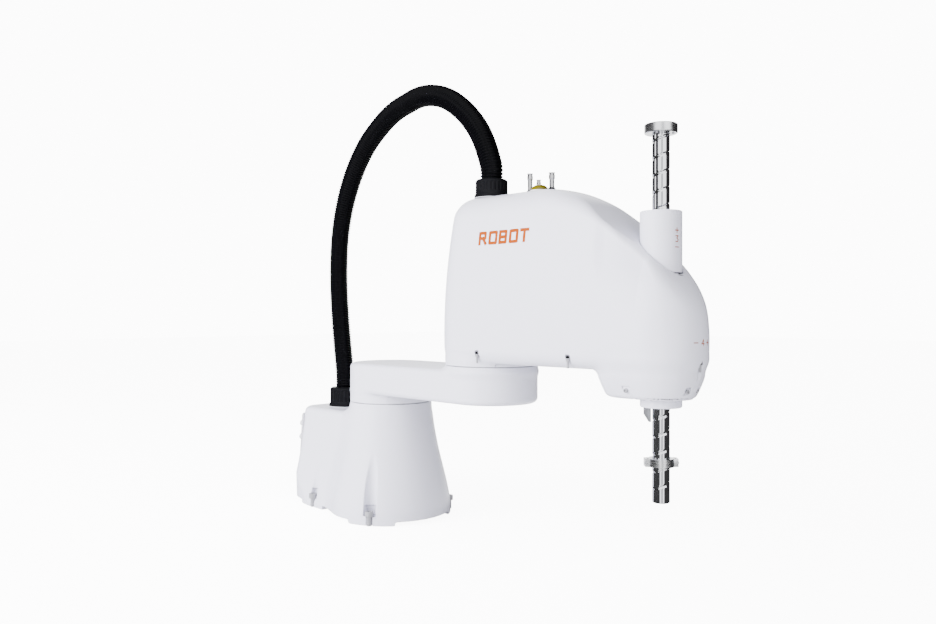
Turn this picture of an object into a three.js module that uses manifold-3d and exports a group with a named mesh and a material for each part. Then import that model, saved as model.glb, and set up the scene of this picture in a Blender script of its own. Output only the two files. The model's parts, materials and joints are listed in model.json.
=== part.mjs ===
// Four-axis SCARA robot arm: base, two horizontal links, a rotating and sliding quill, and its cable hose.
// Millimetres, +Z up. The origin is on the first axis at the mounting face; +X runs along both links at rest.

import * as THREE from 'three';
import { mergeVertices } from 'three/addons/utils/BufferGeometryUtils.js';
import Module from 'manifold-3d';

const wasm = await Module();
wasm.setup();

// Driving dimensions
const LINK_1 = 225;             // first axis to second axis
const LINK_2 = 275;             // second axis to quill axis
const J2_X = LINK_1;
const J3_X = LINK_1 + LINK_2;
const GAP = 0.3;                // clearance kept between touching pieces
const FOOT = 5.5;               // the casting's skirt stands this far above the mounting face
const COLUMN_TOP = 176.7;
const COLUMN_R = 64.3;
const COLUMN_FOOT_R = 94.4;
const BOX_TOP = 158;            // rear connector housing
const BOX_HALF = 60;
const BOX_REAR_TOP = 185;
const BOX_REAR_FOOT = 200;
const BOX_FLARE = 14;           // how much wider the housing is at its foot, on each side
const NECK_BOTTOM = 177;
const ARM1_BOTTOM = 192;
const ARM1_TOP = 238;
const SEAM_2 = 243.6;           // parting plane of the second axis
const ARM_R = 64;
const FLOOR_2 = 249;            // underside of the second link
const CROWN = 475;              // highest line of the second link's cover
const COVER_R = 66;
const NOSE_R = 54;
const NOSE_BOTTOM = 217.4;
const WALL = 3;                 // moulded cover
const SHAFT_R = 10;
const SHAFT_BORE_R = 7;
const SHAFT_BOTTOM = 97.4;
const SHAFT_TOP = 524;
const SLEEVE_R = 24;
const SLEEVE_BORE_R = 21;
const SLEEVE_TOP = 433;
const HOSE_R = 16;
const GLAND_BASE_X = -125;
const GLAND_BASE_TOP = 190;
const GLAND_ARM_TOP = 501;
const GEAR_DEPTH = 38.6;        // strain-wave gear unit, measured from its parting plane
const MOTOR_HALF = 30;
const PULLEY_R = 24;
const MOTOR_PULLEY_R = 10;
const BELT_THICK = 1.8;
const BELT_CLEAR = 1;
const WRIST_MOTOR_X = 395;
const WRIST_MOTOR_Y = 24;

const paint = (color) => new THREE.MeshStandardMaterial({ color, roughness: 0.35, metalness: 0 });
const metal = (color, roughness) => new THREE.MeshStandardMaterial({ color, roughness, metalness: 1 });
const plastic = (color) => new THREE.MeshStandardMaterial({ color, roughness: 0.5, metalness: 0 });
const WHITE = 0xe9e8ee;
const BLACK = 0x17171a;

const robot = new THREE.Group();

// Solids

function solid(geometry) {
  const bare = geometry.clone();
  bare.deleteAttribute('normal');
  bare.deleteAttribute('uv');
  const merged = mergeVertices(bare, 1e-4);
  return new wasm.Manifold(new wasm.Mesh({
    numProp: 3,
    vertProperties: new Float32Array(merged.attributes.position.array),
    triVerts: new Uint32Array(merged.index.array),
  }));
}

function geometryOf(body) {
  const mesh = body.getMesh();
  const geometry = new THREE.BufferGeometry();
  geometry.setAttribute('position', new THREE.BufferAttribute(new Float32Array(mesh.vertProperties), 3));
  geometry.setIndex(new THREE.BufferAttribute(new Uint32Array(mesh.triVerts), 1));
  geometry.computeVertexNormals();
  return geometry;
}

function add(name, body, material) {
  const mesh = new THREE.Mesh(geometryOf(body), material);
  mesh.name = name;
  robot.add(mesh);
}

// A body turned about the vertical line through (x, y). The outline is a list of [radius, height].
function turned(outline, x = 0, y = 0, segments = 24) {
  const points = outline.map(([r, z]) => new THREE.Vector2(r, z));
  const geometry = new THREE.LatheGeometry(points, segments);
  geometry.rotateX(Math.PI / 2);
  geometry.translate(x, y, 0);
  return solid(geometry);
}

function rod(r, bottom, top, x = 0, y = 0, segments = 16) {
  return turned([[0, bottom], [r, bottom], [r, top], [0, top]], x, y, segments);
}

function ring(inner, outer, bottom, top, x = 0, y = 0, segments = 20) {
  const outline = [[inner, bottom], [outer, bottom], [outer, top], [inner, top], [inner, bottom]];
  return turned(outline, x, y, segments);
}

function block(x0, x1, y0, y1, z0, z1) {
  const geometry = new THREE.BoxGeometry(x1 - x0, y1 - y0, z1 - z0);
  geometry.translate((x0 + x1) / 2, (y0 + y1) / 2, (z0 + z1) / 2);
  return solid(geometry);
}

function prism(shape, bottom, top, curveSegments = 10, steps = 1) {
  const geometry = new THREE.ExtrudeGeometry(shape, {
    depth: top - bottom, bevelEnabled: false, curveSegments, steps,
  });
  geometry.translate(0, 0, bottom);
  return geometry;
}

// The belt-like outline around two circles
function aroundTwo(ax, ay, ar, bx, by, br) {
  const along = Math.atan2(by - ay, bx - ax);
  const open = Math.acos((ar - br) / Math.hypot(bx - ax, by - ay));
  const shape = new THREE.Shape();
  shape.absarc(ax, ay, ar, along + open, along - open + 2 * Math.PI, false);
  shape.absarc(bx, by, br, along - open, along + open, false);
  shape.closePath();
  return shape;
}

function roundedRectangle(x0, x1, y0, y1, r) {
  const shape = new THREE.Shape();
  shape.absarc(x1 - r, y1 - r, r, 0, Math.PI / 2, false);
  shape.absarc(x0 + r, y1 - r, r, Math.PI / 2, Math.PI, false);
  shape.absarc(x0 + r, y0 + r, r, Math.PI, 1.5 * Math.PI, false);
  shape.absarc(x1 - r, y0 + r, r, 1.5 * Math.PI, 2 * Math.PI, false);
  shape.closePath();
  return shape;
}

// Moves every vertex of a geometry by a rule that gets x, y, z and gives the new x and y
function reshaped(geometry, rule) {
  const p = geometry.attributes.position;
  for (let i = 0; i < p.count; i++) {
    const [x, y] = rule(p.getX(i), p.getY(i), p.getZ(i));
    p.setXY(i, x, y);
  }
  return solid(geometry);
}

// A value read off a broken line of [z, value]
function along(line, z) {
  const i = Math.min(line.length - 2, Math.max(0, line.findIndex(([at]) => at >= z) - 1));
  const [[z0, a], [z1, b]] = [line[i], line[i + 1]];
  const t = Math.min(1, Math.max(0, (z - z0) / (z1 - z0)));
  return a + (b - a) * t;
}

// A cap screw with a hexagon socket
function hexagonalHead(x, y, headR, headBottom, headTop, shankR, shankBottom) {
  const outline = [[0, shankBottom], [shankR, shankBottom], [shankR, headBottom], [headR, headBottom],
    [headR, headTop], [0, headTop]];
  const key = rod(headR * 0.48, headTop - (headTop - headBottom) * 0.5, headTop + 1, x, y, 6);
  return turned(outline, x, y, 10).subtract(key);
}

// Base

const columnLine = [[FOOT, COLUMN_FOOT_R], [20, 94.2], [45, 89.4], [71, 83.2], [96, 77], [121, 71.8],
  [147, 67.2], [165, 65], [COLUMN_TOP, COLUMN_R]];
const boltPlaces = [[49, 80], [49, -80], [-113, 72], [-113, -72]];
const BOLT_SEAT = 14;
const BOLT_HEAD_R = 6.5;
const BOLT_SHANK_R = 4;
const GEAR_BORE_R = 53;
const COLUMN_WALL = 18;         // thick enough to hold the bolts' pockets

function rearBox(inset, bottom, top, front) {
  const plan = roundedRectangle(-BOX_REAR_TOP + inset, front, -BOX_HALF + inset, BOX_HALF - inset, 18);
  return reshaped(prism(plan, bottom, top, 6, 4), (x, y, z) => {
    const low = 1 - (z - FOOT) / (BOX_TOP - FOOT);
    const back = Math.max(0, -x / BOX_REAR_TOP);
    return [x - (BOX_REAR_FOOT - BOX_REAR_TOP) * low * back, y * (1 + (BOX_FLARE / BOX_HALF) * low * low)];
  });
}

function baseCasting() {
  const outside = columnLine.map(([z, r]) => [r, z]);
  let body = turned([[0, FOOT], ...outside, [0, COLUMN_TOP]], 0, 0, 40);
  body = body.add(rearBox(0, FOOT, BOX_TOP, 0));
  for (const [x, y] of boltPlaces) {
    body = body.add(rod(19, 0, FOOT + 4, x * 0.95, y * 0.95, 14));
  }
  const inside = columnLine.slice(1, 6).map(([z, r]) => [r - COLUMN_WALL, z]);
  body = body.subtract(turned([[0, FOOT - 1], [50, FOOT - 1], [50, 10], [74, 14], ...inside, [50, 126],
    [26, 126], [26, COLUMN_TOP - GEAR_DEPTH], [GEAR_BORE_R, COLUMN_TOP - GEAR_DEPTH],
    [GEAR_BORE_R, COLUMN_TOP + 1], [0, COLUMN_TOP + 1]], 0, 0, 28));
  body = body.subtract(rearBox(16, 12, BOX_TOP - 7, -50));
  body = body.subtract(block(-168, -40, -42, 42, FOOT - 1, 20));
  body = body.subtract(block(-210, -160, -36, 36, 42, 142));
  body = body.subtract(rod(14, BOX_TOP - 10, BOX_TOP + 1, GLAND_BASE_X, 0, 14));
  for (const [x, y] of boltPlaces) {
    body = body.subtract(rod(12.5, BOLT_SEAT, 125, x, y, 14));
    body = body.subtract(rod(BOLT_SHANK_R + 0.5, -1, BOLT_SEAT + 1, x, y, 10));
  }
  return body;
}

function bottomCover() {
  const tail = block(-180, -20, -46, 46, 0, FOOT - GAP);
  return rod(56, 0, FOOT - GAP, 0, 0, 28).add(tail);
}

// Tilts what is built flat at x = 0, facing -X, onto the sloping rear face at height z
function onRearFace(body, z) {
  const slope = Math.atan((BOX_REAR_FOOT - BOX_REAR_TOP) / (BOX_TOP - FOOT));
  const faceX = -BOX_REAR_TOP - (BOX_REAR_FOOT - BOX_REAR_TOP) * (1 - (z - FOOT) / (BOX_TOP - FOOT));
  return body.rotate(0, THREE.MathUtils.radToDeg(slope), 0).translate(faceX - 0.45, 0, z);
}

// A body turned about an axis that points to -X, from an outline of [radius, distance out of the face]
function outward(outline, y, z, segments = 16) {
  const geometry = new THREE.LatheGeometry(outline.map(([r, d]) => new THREE.Vector2(r, d)), segments);
  geometry.rotateZ(Math.PI / 2);
  geometry.translate(0, y, z);
  return solid(geometry);
}

const PANEL_Z = 92;
const PANEL_THICK = 3;
const PANEL_FACE = PANEL_THICK + GAP;

add('base_casting', baseCasting(), paint(WHITE));
add('base_bottom_cover', bottomCover(), metal(0x8d9096, 0.45));
add('rear_panel', onRearFace(block(-PANEL_THICK, 0, -44, 44, -52, 52), PANEL_Z), plastic(0x2b2c30));
const powerPlug = block(-PANEL_FACE - 14, -PANEL_FACE, 4, 34, -44, -16);
const signalPlug = block(-PANEL_FACE - 9, -PANEL_FACE, -2, 36, 12, 26);
add('power_connector', onRearFace(powerPlug, PANEL_Z), plastic(BLACK));
add('signal_connector', onRearFace(signalPlug, PANEL_Z), metal(0x9a9da3, 0.35));
[30, 6].forEach((up, i) => {
  const outline = [[0, PANEL_FACE], [6.5, PANEL_FACE], [6.5, 11], [5, 11.5], [5, 22], [2.2, 22], [2.2, 16],
    [0, 16]];
  add(`base_air_fitting_${i + 1}`, onRearFace(outward(outline, -30, up), PANEL_Z), plastic(0xd8d9dc));
});
boltPlaces.forEach(([x, y], i) => {
  const bolt = hexagonalHead(x, y, BOLT_HEAD_R, BOLT_SEAT + GAP, BOLT_SEAT + 8, BOLT_SHANK_R, 0.5);
  add(`mounting_bolt_${i + 1}`, bolt, metal(0x6d7076, 0.35));
});

function gland(x, bottom, top, flangeR, bodyR) {
  const outline = [[10, bottom], [flangeR, bottom], [flangeR, bottom + 4], [bodyR, bottom + 5.5],
    [bodyR, top - 2], [bodyR - 2, top], [10, top], [10, bottom]];
  return turned(outline, x, 0, 18);
}
add('base_hose_gland', gland(GLAND_BASE_X, BOX_TOP + GAP, GLAND_BASE_TOP, 27, 25), plastic(BLACK));
add('arm_hose_gland', gland(J2_X, CROWN + GAP, GLAND_ARM_TOP, 24, 22.5), plastic(BLACK));

// Strain-wave gear unit at a parting plane. up = 1 when the gear lies above its plane, -1 when below.

function gearUnit(prefix, x, plane, up) {
  const at = (from, to) => [plane + up * from, plane + up * to].sort((a, b) => a - b);
  const hoop = (inner, outer, from, to) => ring(inner, outer, ...at(from, to), x, 0, 20);
  add(`${prefix}_bearing_outer`, hoop(44, 52.5, 6, 22.4), metal(0xb9bcc2, 0.3));
  add(`${prefix}_bearing_inner`, hoop(34.1, 43.4, 6.2, 22.4), metal(0xc4c7cc, 0.25));
  add(`${prefix}_circular_spline`, hoop(33.4, 52.5, 22.8, GEAR_DEPTH - GAP), metal(0x8f9298, 0.4));
  const cup = hoop(8, 32.6, 17, 20).add(hoop(31.1, 32.6, 19, GEAR_DEPTH - 1));
  add(`${prefix}_flexspline`, cup, metal(0xa8abb1, 0.3));
  const plug = rod(30.6, ...at(24, 34), x, 0, 20);
  add(`${prefix}_wave_generator`, plug.add(rod(7, ...at(24, 80), x, 0, 12)), metal(0x7c7f86, 0.35));
  const caseEnds = at(GEAR_DEPTH + 12.4, GEAR_DEPTH + 106);
  const shell = solid(prism(roundedRectangle(x - MOTOR_HALF, x + MOTOR_HALF, -MOTOR_HALF, MOTOR_HALF, 6),
    ...caseEnds, 3));
  add(`${prefix}_motor`, shell.subtract(rod(7.6, ...at(GEAR_DEPTH + 10, 82), x, 0, 12)), plastic(BLACK));
}
gearUnit('j1', 0, COLUMN_TOP, -1);
gearUnit('j2', J2_X, SEAM_2, 1);

// First link

function arm1Casting() {
  const link = prism(aroundTwo(0, 0, ARM_R, J2_X, 0, ARM_R), ARM1_BOTTOM, ARM1_TOP, 12);
  const hollow = prism(aroundTwo(76, 0, 50, J2_X - 76, 0, 50), ARM1_BOTTOM - 1, ARM1_TOP - 8, 10);
  const web = block(LINK_1 / 2 - 3, LINK_1 / 2 + 3, -60, 60, ARM1_BOTTOM, ARM1_TOP - 4);
  let body = solid(link).subtract(solid(hollow)).add(web);
  body = body.add(rod(ARM_R, NECK_BOTTOM, ARM1_BOTTOM + 1, 0, 0, 24));
  body = body.add(rod(COLUMN_R, ARM1_TOP - 1, SEAM_2 - GAP, J2_X, 0, 24));
  const flange = 5.6;
  const boss = 16.4;
  body = body.add(rod(43.4, NECK_BOTTOM - flange, NECK_BOTTOM + 1, 0, 0, 20));
  body = body.add(rod(33.6, NECK_BOTTOM - boss, NECK_BOTTOM + 1, 0, 0, 20));
  body = body.add(rod(43.4, SEAM_2 - 1, SEAM_2 + flange, J2_X, 0, 20));
  body = body.add(rod(33.6, SEAM_2 - 1, SEAM_2 + boss, J2_X, 0, 20));
  body = body.subtract(rod(8, NECK_BOTTOM - boss - 1, ARM1_TOP - 6, 0, 0, 12));
  return body.subtract(rod(8, ARM1_BOTTOM + 6, SEAM_2 + boss + 1, J2_X, 0, 12));
}
add('arm1_casting', arm1Casting(), paint(WHITE));

// Second link: cover, frame, screws

const leanLine = [[FLOOR_2 - 40, 0], [287, 0], [332, 1.5], [402, 7], [446, 15.6], [468, 28], [CROWN, 40]];

function coverSolid(inset) {
  const plan = aroundTwo(J2_X, 0, COVER_R - inset, J3_X, 0, NOSE_R - inset);
  const levels = leanLine.slice(1).map(([z]) => z);
  const geometry = prism(plan, 0, levels.length, 8, levels.length);
  const p = geometry.attributes.position;
  for (let i = 0; i < p.count; i++) {
    const step = Math.round(p.getZ(i));
    const z = step === 0 ? FLOOR_2 - 1 : levels[step - 1];
    const nearest = Math.min(J3_X, Math.max(J2_X, p.getX(i)));
    const dx = p.getX(i) - nearest;
    const dy = p.getY(i);
    const keep = 1 - along(leanLine, z) / Math.hypot(dx, dy);
    p.setXYZ(i, nearest + dx * keep, dy * keep, z);
  }
  const side = new THREE.Shape();
  const top = [[J2_X - 80, CROWN], [350, CROWN], [384, 470], [412, 465], [440, 449], [468, 431], [496, 412],
    [517, 396], [535, 378], [547, 345], [554, 300], [554, 272], [552, 250]];
  side.moveTo(J2_X - 80, FLOOR_2);
  top.forEach(([x, z]) => side.lineTo(x - (x > 340 ? inset : 0), z - inset * 0.9));
  side.lineTo(552 - inset, FLOOR_2);
  side.closePath();
  const profile = new THREE.ExtrudeGeometry(side, { depth: 160, bevelEnabled: false });
  profile.rotateX(Math.PI / 2);
  profile.translate(0, 80, 0);
  const upper = solid(geometry).intersect(solid(profile));
  const skirtPlan = aroundTwo(J3_X - 24, 0, 46 - inset, J3_X, 0, 45 - inset);
  const skirt = reshaped(prism(skirtPlan, NOSE_BOTTOM + 1.5, FLOOR_2 + 1, 7), (x, y, z) => {
    const grow = 1 + 0.0085 * (z - NOSE_BOTTOM - 12);
    return [J3_X + (x - J3_X) * grow, y * grow];
  });
  return upper.add(skirt.intersect(block(430 + inset, 570, -80, 80, 200, 300)));
}

const coverScrews = [[260, 62.4], [260, -62.4], [408, 56], [408, -56], [550.4, 0]];
const SCREW_SEAT = 258;
const LUG_R = 3.2;
const CHANNEL_R = 3.9;

function arm2Cover() {
  const underside = block(150, 570, -80, 80, FLOOR_2 - 2, FLOOR_2 + 8);
  const inside = coverSolid(WALL).add(block(150, 440, -56, 56, FLOOR_2 - 2, FLOOR_2 + 8));
  const floorCut = underside.intersect(inside);
  const noseCut = solid(prism(aroundTwo(J3_X - 24, 0, 39, J3_X, 0, 38.6), NOSE_BOTTOM, FLOOR_2 + 2, 8));
  let body = coverSolid(0).subtract(coverSolid(WALL)).subtract(floorCut).subtract(noseCut);
  body = body.subtract(rod(SLEEVE_R + 0.5, 340, 460, J3_X, 0, 20));
  body = body.subtract(rod(11, CROWN - 10, CROWN + 1, J2_X, 0, 14));
  for (const [x, y] of coverScrews) {
    body = body.subtract(rod(CHANNEL_R, FLOOR_2 - 12, 276, x, y, 10));
  }
  return body;
}

function arm2Frame() {
  const plan = aroundTwo(J2_X, 0, COVER_R - WALL - 1, J3_X, 0, NOSE_R - WALL - 2.6);
  let body = solid(prism(plan, FLOOR_2 + GAP, SCREW_SEAT, 8));
  body = body.add(rod(COLUMN_R, SEAM_2 + GAP, FLOOR_2 - GAP, J2_X, 0, 24));
  body = body.add(rod(60, FLOOR_2 - 2, SEAM_2 + GEAR_DEPTH + 12, J2_X, 0, 24));
  const nose = solid(prism(aroundTwo(J3_X - 24, 0, 38, J3_X, 0, 38), NOSE_BOTTOM, FLOOR_2 + 3, 8));
  body = body.add(nose).add(rod(38, FLOOR_2, 290, J3_X, 0, 20));
  for (const side of [-1, 1]) {
    const post = block(J3_X - 9, J3_X + 9, ...[side * 31, side * 37].sort((a, b) => a - b), 289, 344);
    body = body.add(post);
  }
  body = body.add(ring(28.6, 35, 322, 342, J3_X, 0, 20));
  for (const [x, y] of coverScrews) {
    body = body.add(rod(LUG_R, FLOOR_2 + GAP, SCREW_SEAT, x, y, 12));
    body = body.subtract(rod(1.9, FLOOR_2 - 1, SCREW_SEAT + 1, x, y, 10));
  }
  body = body.subtract(rod(GEAR_BORE_R, SEAM_2 - 1, SEAM_2 + GEAR_DEPTH, J2_X, 0, 24));
  body = body.subtract(rod(26, SEAM_2, SEAM_2 + GEAR_DEPTH + 20, J2_X, 0, 18));
  body = body.subtract(rod(31, 224, 300, J3_X, 0, 20));
  return body.subtract(rod(22, NOSE_BOTTOM - 1, 230, J3_X, 0, 18));
}

add('arm2_frame', arm2Frame(), paint(WHITE));
add('arm2_cover', arm2Cover(), paint(WHITE));
coverScrews.forEach(([x, y], i) => {
  add(`cover_screw_${i + 1}`, hexagonalHead(x, y, 2.6, SCREW_SEAT + GAP, SCREW_SEAT + 3, 1.5, FLOOR_2 + 1),
    metal(0x9b9ea4, 0.3));
});

// Quill: sleeve, spline nut, ball nut, shaft

const SLEEVE_BOTTOM = 362;
const sleeveOutline = [[SLEEVE_BORE_R, SLEEVE_BOTTOM], [SLEEVE_R, SLEEVE_BOTTOM], [SLEEVE_R, SLEEVE_TOP - 1],
  [SLEEVE_R - 1, SLEEVE_TOP], [SLEEVE_BORE_R, SLEEVE_TOP], [SLEEVE_BORE_R, SLEEVE_BOTTOM]];
add('shaft_sleeve', turned(sleeveOutline, J3_X, 0, 24), paint(WHITE));
const COLLAR_BOTTOM = 207.4;
add('lower_collar', ring(11.5, SLEEVE_R, COLLAR_BOTTOM, NOSE_BOTTOM - GAP, J3_X, 0, 24), paint(WHITE));
const stopTab = block(-20, -11.8, -2, 2, 190, COLLAR_BOTTOM - GAP).rotate(0, 0, 46).translate(J3_X, 0, 0);
add('shaft_stop_tab', stopTab, metal(0x777a80, 0.35));

add('spline_bearing', ring(20.4, 30.6, 226, 256, J3_X, 0, 20), metal(0xb9bcc2, 0.3));
add('spline_nut', ring(SHAFT_R + 0.4, 20, 224.4, 308, J3_X, 0, 20), metal(0x9b9ea4, 0.35));
add('j4_pulley', ring(20.4, PULLEY_R, 293, 308, J3_X, 0, 20), metal(0xa9acb2, 0.4));
add('ball_nut', ring(SHAFT_R + 0.4, 18, 316, 360, J3_X, 0, 20), metal(0x9b9ea4, 0.35));
add('ball_nut_bearing', ring(18.4, 28.2, 323, 341, J3_X, 0, 20), metal(0xb9bcc2, 0.3));
add('j3_pulley', ring(18.4, PULLEY_R, 346, 360, J3_X, 0, 20), metal(0xa9acb2, 0.4));

function belt(y, bottom, top) {
  const inner = aroundTwo(WRIST_MOTOR_X, y, MOTOR_PULLEY_R + BELT_CLEAR, J3_X, 0, PULLEY_R + BELT_CLEAR);
  const reach = BELT_CLEAR + BELT_THICK;
  const outer = aroundTwo(WRIST_MOTOR_X, y, MOTOR_PULLEY_R + reach, J3_X, 0, PULLEY_R + reach);
  return solid(prism(outer, bottom, top, 7)).subtract(solid(prism(inner, bottom - 1, top + 1, 7)));
}
add('j3_belt', belt(-WRIST_MOTOR_Y, 347, 359), plastic(BLACK));
add('j4_belt', belt(WRIST_MOTOR_Y, 294, 307), plastic(BLACK));

function squareMotor(y, bottom, top) {
  const plan = roundedRectangle(WRIST_MOTOR_X - 20, WRIST_MOTOR_X + 20, y - 20, y + 20, 4);
  return solid(prism(plan, bottom, top, 3));
}
const BELOW_Y = -WRIST_MOTOR_Y;
const shaftHole = (y, bottom, top) => rod(5, bottom, top, WRIST_MOTOR_X, y, 10);
add('j3_brake', rod(18, SCREW_SEAT + GAP, 276, WRIST_MOTOR_X, BELOW_Y, 18), plastic(0x3a3b40));
add('j3_motor', squareMotor(BELOW_Y, 276.3, 334).subtract(shaftHole(BELOW_Y, 310, 335)), plastic(BLACK));
add('j3_motor_pulley', rod(MOTOR_PULLEY_R, 346, 360, WRIST_MOTOR_X, BELOW_Y, 14).add(
  rod(4, 314, 347, WRIST_MOTOR_X, BELOW_Y, 10)), metal(0xa9acb2, 0.4));
const turnMotor = squareMotor(WRIST_MOTOR_Y, 318.3, 384).subtract(shaftHole(WRIST_MOTOR_Y, 317, 344));
add('j4_motor', turnMotor, plastic(BLACK));
add('j4_motor_pulley', rod(MOTOR_PULLEY_R, 293, 308, WRIST_MOTOR_X, WRIST_MOTOR_Y, 14).add(
  rod(4, 307, 340, WRIST_MOTOR_X, WRIST_MOTOR_Y, 10)), metal(0xa9acb2, 0.4));

// One bracket carries both motors: a plate for each, on a shared wall behind them
function motorBracket() {
  const x0 = WRIST_MOTOR_X - 28;
  const x1 = WRIST_MOTOR_X + 20;
  let body = block(x0, x0 + 7, -44, 44, SCREW_SEAT + GAP, 340);
  for (const [y, bottom, top] of [[BELOW_Y, 334.3, 340], [WRIST_MOTOR_Y, 312, 318]]) {
    body = body.add(block(x0, x1, y - 20, y + 20, bottom, top));
    body = body.subtract(rod(12, bottom - 1, top + 1, WRIST_MOTOR_X, y, 12));
  }
  return body;
}
add('motor_bracket', motorBracket(), metal(0xb4b7bd, 0.4));

const shaftOutline = [[SHAFT_BORE_R, SHAFT_BOTTOM], [SHAFT_R - 1, SHAFT_BOTTOM], [SHAFT_R, SHAFT_BOTTOM + 1],
  [SHAFT_R, SHAFT_TOP], [SHAFT_BORE_R, SHAFT_TOP], [SHAFT_BORE_R, SHAFT_BOTTOM]];
add('spline_shaft', turned(shaftOutline, J3_X, 0, 18), metal(0xd5d7db, 0.12));
const CAP_R = 19;
const CAP_BOTTOM = 522.5;
const CAP_TOP = 533.4;
const capOutline = [[SHAFT_R + GAP, CAP_BOTTOM], [CAP_R - 1, CAP_BOTTOM], [CAP_R, CAP_BOTTOM + 1],
  [CAP_R, CAP_TOP - 1], [CAP_R - 1, CAP_TOP], [SHAFT_BORE_R, CAP_TOP], [SHAFT_BORE_R, SHAFT_TOP + GAP],
  [SHAFT_R + GAP, SHAFT_TOP + GAP], [SHAFT_R + GAP, CAP_BOTTOM]];
add('shaft_cap', turned(capOutline, J3_X, 0, 24), metal(0xc9cbd0, 0.3));

const STOP_BOTTOM = 139;
const STOP_TOP = 148.6;
function stopRing() {
  const ears = block(-19.2, 19.2, -5, 5, STOP_BOTTOM, STOP_TOP).rotate(0, 0, 46).translate(J3_X, 0, 0);
  const body = rod(15, STOP_BOTTOM, STOP_TOP, J3_X, 0, 20).add(ears);
  return body.subtract(rod(SHAFT_R + GAP, STOP_BOTTOM - 1, STOP_TOP + 1, J3_X, 0, 18));
}
add('stop_ring', stopRing(), metal(0xcfd1d5, 0.3));

// Signal lamp and air fittings on the cover

const LAMP_X = 314;
const LAMP_R = 11.5;
const LAMP_SEAT = CROWN + GAP;
add('lamp_base', rod(LAMP_R + 1, LAMP_SEAT, LAMP_SEAT + 1.6, LAMP_X, 0, 18), plastic(0xd8d9dc));
const dome = [[0, LAMP_SEAT + 1.9]];
const DOME_STEPS = 4;
for (let i = 0; i <= DOME_STEPS; i++) {
  const turn = (i / DOME_STEPS) * (Math.PI / 2);
  dome.push([i === DOME_STEPS ? 0 : LAMP_R * Math.cos(turn), LAMP_SEAT + 1.9 + 7.4 * Math.sin(turn)]);
}
add('lamp_dome', turned(dome, LAMP_X, 0, 18), plastic(0xb59a12));

const armFittings = [[297, 0, 3.8, 501], [300, 14, 3, 494], [335, 0, 4, 498]];
armFittings.forEach(([x, y, r, top], i) => {
  const outline = [[0, LAMP_SEAT], [r + 0.9, LAMP_SEAT], [r + 0.9, LAMP_SEAT + 3], [r - 0.6, LAMP_SEAT + 4],
    [r - 0.6, top - 9], [r, top - 8], [r, top], [r * 0.5, top], [r * 0.5, top - 6], [0, top - 6]];
  add(`arm_air_fitting_${i + 1}`, turned(outline, x, y, 10), plastic(0xe0e1e4));
});

// Cable hose, in two halves that meet over the first axis. Its length is 0.83 m.

const hoseLower = [[-125, 190.3], [-125, 204], [-127, 225], [-131, 250], [-138, 300], [-143, 352],
  [-143.6, 401], [-139, 450], [-124, 502], [-98.7, 550], [-62, 592], [-17.8, 621.5], [4, 631.5],
  [24, 637.6], [42.4, 641]];
const hoseUpper = [[42.7, 641.1], [61.1, 644.5], [82, 645], [104, 641.5], [128, 633.5], [152, 620],
  [180, 597], [203, 569], [217, 541], [225, 517], [225, 501.3]];

function hoseHalf(route, steps) {
  const path = new THREE.CatmullRomCurve3(route.map(([x, z]) => new THREE.Vector3(x, 0, z)));
  const section = new THREE.Shape();
  section.absarc(0, 0, HOSE_R, 0, 2 * Math.PI, false);
  return solid(new THREE.ExtrudeGeometry(section, { steps, curveSegments: 6, extrudePath: path }));
}
add('conduit_lower', hoseHalf(hoseLower, 14), plastic(BLACK));
add('conduit_upper', hoseHalf(hoseUpper, 12), plastic(BLACK));

export default robot;
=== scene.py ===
"""SCARA robot arm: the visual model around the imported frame.

The scene is in metres in the frame's own axes: the first axis stands on the origin, +X along the links.
Sizes here are in millimetres, and new_object turns them into metres. The castings and the moulded cover are
fields, negative inside, that surface_net meshes.
"""
import json
import math

import bmesh
import bpy
import numpy as np
from mathutils import Matrix, Vector
from numpy import hypot, maximum, minimum


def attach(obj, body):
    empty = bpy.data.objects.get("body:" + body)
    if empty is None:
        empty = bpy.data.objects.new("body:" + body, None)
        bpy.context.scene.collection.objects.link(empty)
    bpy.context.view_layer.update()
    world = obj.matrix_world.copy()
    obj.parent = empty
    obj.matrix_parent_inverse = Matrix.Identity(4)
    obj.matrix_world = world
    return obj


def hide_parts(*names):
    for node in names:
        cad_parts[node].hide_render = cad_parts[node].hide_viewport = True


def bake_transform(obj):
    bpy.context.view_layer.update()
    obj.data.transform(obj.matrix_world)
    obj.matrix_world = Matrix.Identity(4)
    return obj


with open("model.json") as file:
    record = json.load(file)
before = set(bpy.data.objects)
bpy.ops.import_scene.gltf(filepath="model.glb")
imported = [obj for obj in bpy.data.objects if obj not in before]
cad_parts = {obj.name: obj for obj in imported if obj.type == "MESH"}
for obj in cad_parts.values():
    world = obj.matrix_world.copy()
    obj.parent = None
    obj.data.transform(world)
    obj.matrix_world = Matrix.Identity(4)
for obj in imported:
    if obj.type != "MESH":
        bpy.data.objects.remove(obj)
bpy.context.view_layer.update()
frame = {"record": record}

MM = 0.001
J2_X, J3_X = 225.0, 500.0
HOSE_R = 16.0
WHITE = (0.63, 0.63, 0.73)
ORANGE = (0.24, 0.043, 0.0)
VIEW = Vector((-0.7236, 0.690, 0))


def linked(name, data):
    """An object in the scene that shows some data."""
    obj = bpy.data.objects.new(name, data)
    bpy.context.collection.objects.link(obj)
    return obj


# Camera: level, at the photograph's angle

def add_camera():
    data = bpy.data.cameras.new("camera")
    data.lens = 31.92
    data.sensor_width = 36
    camera = linked("camera", data)
    camera.location = (1.0394, -0.8221, 0.317)
    camera.rotation_mode = "QUATERNION"
    camera.rotation_quaternion = VIEW.to_track_quat("-Z", "Y")
    bpy.context.scene.camera = camera


add_camera()


# Meshes

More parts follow.
